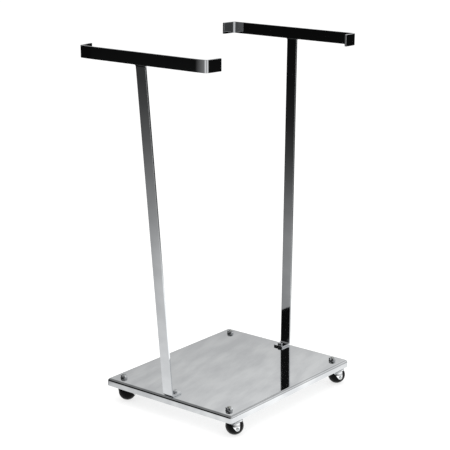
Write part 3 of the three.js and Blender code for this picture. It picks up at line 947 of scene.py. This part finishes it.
# %% Four casters
# name, master, finish, slot, body, CAD node, where its origin is
CASTER_PIECES = (
    ("pressed_hood", hood, HOOD_CHROME, "chromed_hood", "{}_fork", "hood", "ball"),
    ("riveted_axle", axle, ZINC, "zinc_plated_steel", "{}_fork", "axle", "ball"),
    ("nylon_ball", ball, BLACK_NYLON, "black_nylon", "{}_wheel", "ball_wheel", "ball"),
    ("nylon_bush", bush, NATURAL_NYLON, "natural_nylon", "{}_wheel", "wheel_bush", "ball"),
    ("swivel_stem", stem, ZINC, "zinc_plated_steel", "frame", "stem", "tray"),
    ("flat_washer", stem_washer, FASTENER, "chromed_fastener", "frame", "stem_washer", "foot"),
    ("hex_nut", stem_nut, FASTENER, "chromed_fastener", "frame", "stem_nut", "foot"),
)
for corner in CORNERS:
    ball_at, stem_at = middle_of(f"{corner}_ball_wheel"), middle_of(f"{corner}_stem")
    swivel = math.atan2(ball_at.y - stem_at.y, ball_at.x - stem_at.x)
    for name, master, material, slot, body, node, origin in CASTER_PIECES:
        node = f"{corner}_{node}"
        if origin == "ball":
            piece = placed(master, f"{corner}_{name}", ball_at, swivel)
        elif origin == "tray":
            piece = placed(master, f"{corner}_{name}", (stem_at.x, stem_at.y, tray_high.z))
        else:
            piece = placed(master, f"{corner}_{name}", (stem_at.x, stem_at.y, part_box(node)[0].z))
        paint(piece, material)
        belongs(piece, body.format(corner), slot, node)
for _, master, *_ in CASTER_PIECES:
    bpy.data.objects.remove(master)

# %% [markdown]
# ## The studio
# Chrome shows only what surrounds it, so the studio is built for the metal. What the camera sees is
# a plain pale floor that glows, like a lit acrylic sheet, under soft light. What the metal sees is
# a second floor, bright round the stand and falling off into the dark, and a room whose walls fade
# from bright at the back right to dark at the front left. Each is hidden from the other's rays.

# %% The floor the camera sees
FLOOR_SIZE, FLOOR_GLOW = 120.0, 0.74

floor = begin("studio_floor", bpy.ops.mesh.primitive_plane_add, size=FLOOR_SIZE)
material, tree = blank_material("pale_acrylic_sheet")
coords = add(tree, "ShaderNodeTexCoord").outputs["Object"]
mottle = add(tree, "ShaderNodeTexNoise", {"Vector": coords, "Scale": 1 / (400 * MM), "Detail": 2.0})
matt_tint = add(tree, "ShaderNodeMix", {0: mottle, MIX_A: linear("#9C9C9B"), MIX_B: linear("#A4A4A4")},
                data_type="RGBA")
matt = add(tree, "ShaderNodeBsdfDiffuse", {"Color": matt_tint})
glow = add(tree, "ShaderNodeEmission", {"Color": linear("#FDFDFD"), "Strength": FLOOR_GLOW})
both = add(tree, "ShaderNodeAddShader", {0: matt, 1: glow})
add(tree, "ShaderNodeOutputMaterial", {"Surface": both})
paint(floor, material)
floor.visible_glossy = False
print("floor", FLOOR_SIZE, "m wide")

# %% [markdown]
# The floor that the metal sees has three lights on it: a wide pool before the stand, a smaller one
# to its right that whitens the faces turned that way, and a fan towards the camera that only the
# round bends catch. The stand's own soft shadow lies to the left, and a narrow dark gap in the fan
# stands for the camera and whoever is behind it.

# %% A floor for reflections only
MIRROR_FLOOR_RADIUS, ROOM_RADIUS = 30, 29  # metres


def seen_by_metal_only(thing):
    """Hides a glowing stage piece from everything but reflections."""
    for ray in ("camera", "diffuse", "transmission", "volume_scatter", "shadow"):
        setattr(thing, f"visible_{ray}", False)
    thing.data.materials[0].cycles.emission_sampling = "NONE"


to_camera = Vector((away.x, away.y, 0)).normalized()
dark_side = Vector((-to_camera.x, to_camera.y, 0))

mirror_floor = begin("reflected_floor", bpy.ops.mesh.primitive_circle_add, vertices=96,
                     radius=MIRROR_FLOOR_RADIUS, fill_type="NGON")
floor_glow, tree = blank_material("floor_glow_for_metal")
coords = add(tree, "ShaderNodeTexCoord").outputs["Object"]

# %% Two pools of light and the stand's soft shadow
POOL = {"centre": (0.5, -0.8, 0), "radius": 1.3, "fall_off": 3.5, "strength": 1.1}
RIGHT_POOL = {"centre": (0.75, 0.25, 0), "radius": 0.6, "fall_off": 4.0, "strength": 1.05}

pools = []
for pool in (POOL, RIGHT_POOL):
    apart = add(tree, "ShaderNodeVectorMath", {0: coords, 1: pool["centre"]}, operation="DISTANCE")
    ratio = add(tree, "ShaderNodeMath", {0: apart, 1: pool["radius"]}, operation="DIVIDE")
    steep = add(tree, "ShaderNodeMath", {0: ratio, 1: pool["fall_off"]}, operation="POWER")
    below = add(tree, "ShaderNodeMath", {0: steep, 1: 1.0}, operation="ADD")
    pools.append(add(tree, "ShaderNodeMath", {0: pool["strength"], 1: below}, operation="DIVIDE"))

across = add(tree, "ShaderNodeVectorMath", {0: coords, 1: (1, -1, 0)}, operation="DOT_PRODUCT")
shadow = add(tree, "ShaderNodeMapRange", {"Value": across, "From Min": -0.15, "From Max": 0.28,
                                          "To Min": 0.45, "To Max": 1.0})
sideways = add(tree, "ShaderNodeSeparateXYZ", {0: coords}).outputs["X"]
beside = add(tree, "ShaderNodeMapRange", {"Value": sideways, "From Min": -0.38, "From Max": -0.30})
lit = add(tree, "ShaderNodeMath", {0: shadow, 1: beside}, operation="MAXIMUM")
near = add(tree, "ShaderNodeMath", {0: pools[0], 1: lit, 2: pools[1]}, operation="MULTIPLY_ADD")

# %% A fan of light towards the camera, with a gap where the camera stands
BOUNCE = 0.004  # the little light that is left far from the stand

unit = add(tree, "ShaderNodeVectorMath", {0: coords}, operation="NORMALIZE")
facing = add(tree, "ShaderNodeVectorMath", {0: unit, 1: to_camera}, operation="DOT_PRODUCT")
fan = add(tree, "ShaderNodeMapRange", {"Value": facing, "From Min": 0.31, "From Max": 0.80, "To Max": 0.95})
gap = add(tree, "ShaderNodeMapRange", {"Value": facing, "From Min": 0.990, "From Max": 0.997,
                                       "To Min": 1.0, "To Max": 0.1})
split_fan = add(tree, "ShaderNodeMath", {0: fan, 1: gap}, operation="MULTIPLY")
brighter = add(tree, "ShaderNodeMath", {0: near, 1: split_fan}, operation="MAXIMUM")
strength = add(tree, "ShaderNodeMath", {0: brighter, 1: BOUNCE}, operation="ADD")
glow = add(tree, "ShaderNodeEmission", {"Strength": strength})
add(tree, "ShaderNodeOutputMaterial", {"Surface": glow})
paint(mirror_floor, floor_glow)
seen_by_metal_only(mirror_floor)

# %% [markdown]
# The room is a sphere that glows from within. Its walls go from bright to dark by direction alone, so
# that every level face of the stand finds an even tone. High up it has a strip of brighter light, a
# dimmer ceiling, and a faint skylight that thins the dark line along the tray's rounded edge.

# %% The room the metal sees
room = begin("reflected_room", bpy.ops.mesh.primitive_uv_sphere_add, segments=64, ring_count=32,
             radius=ROOM_RADIUS)
material, tree = blank_material("room_glow_for_metal")
coords = add(tree, "ShaderNodeTexCoord").outputs["Object"]
unit = add(tree, "ShaderNodeVectorMath", {0: coords}, operation="NORMALIZE")
darkwards = add(tree, "ShaderNodeVectorMath", {0: unit, 1: dark_side}, operation="DOT_PRODUCT")
walls = add(tree, "ShaderNodeMapRange", {"Value": darkwards, "From Min": -0.45, "From Max": 0.56,
                                         "To Min": 1.1, "To Max": 0.012})
up = add(tree, "ShaderNodeSeparateXYZ", {0: unit}).outputs["Z"]
strip_lights = add(tree, "ShaderNodeMapRange", {"Value": up, "From Min": 0.30, "From Max": 0.40,
                                                "To Min": 0.74, "To Max": 1.2})
ceiling = add(tree, "ShaderNodeMapRange", {"Value": up, "From Min": 0.52, "From Max": 0.60,
                                           "To Min": 1.0, "To Max": 0.52})
overhead = add(tree, "ShaderNodeMath", {0: strip_lights, 1: ceiling}, operation="MULTIPLY")
lit_room = add(tree, "ShaderNodeMath", {0: walls, 1: overhead}, operation="MULTIPLY")
skylight = add(tree, "ShaderNodeMapRange", {"Value": up, "From Min": 0.50, "From Max": 0.65,
                                            "To Max": 0.3})
strength = add(tree, "ShaderNodeMath", {0: lit_room, 1: skylight}, operation="MAXIMUM")
glow = add(tree, "ShaderNodeEmission", {"Strength": strength})
add(tree, "ShaderNodeOutputMaterial", {"Surface": glow})
paint(room, material)
seen_by_metal_only(room)
print("room tree of", len(tree.nodes), "nodes")

# %% [markdown]
# Nylon and the pale floor are lit in the ordinary way: by an even white world, as in a light tent,
# and by one large softbox overhead that leaves a faint shadow under the tray.

# %% Soft light for everything that isn't metal
SOFTBOX = {"size": 4.0, "watts": 60, "at": Vector((0.6, -0.8, 3.2))}
WORLD_STRENGTH = 0.97

world = bpy.data.worlds.new("soft_studio")
bpy.context.scene.world = world
world.use_nodes = True
world.node_tree.nodes["Background"].inputs["Color"].default_value = linear("#FFFFFF")
world.node_tree.nodes["Background"].inputs["Strength"].default_value = WORLD_STRENGTH

softbox = bpy.data.objects.new("softbox", bpy.data.lights.new("softbox", "AREA"))
bpy.context.scene.collection.objects.link(softbox)
softbox.data.size = SOFTBOX["size"]
softbox.data.energy = SOFTBOX["watts"]
softbox.location = SOFTBOX["at"]
softbox.rotation_euler = (SOFTBOX["at"] - aim).to_track_quat("Z", "Y").to_euler()
softbox.visible_glossy = False
bpy.context.scene.view_settings.view_transform = "Standard"
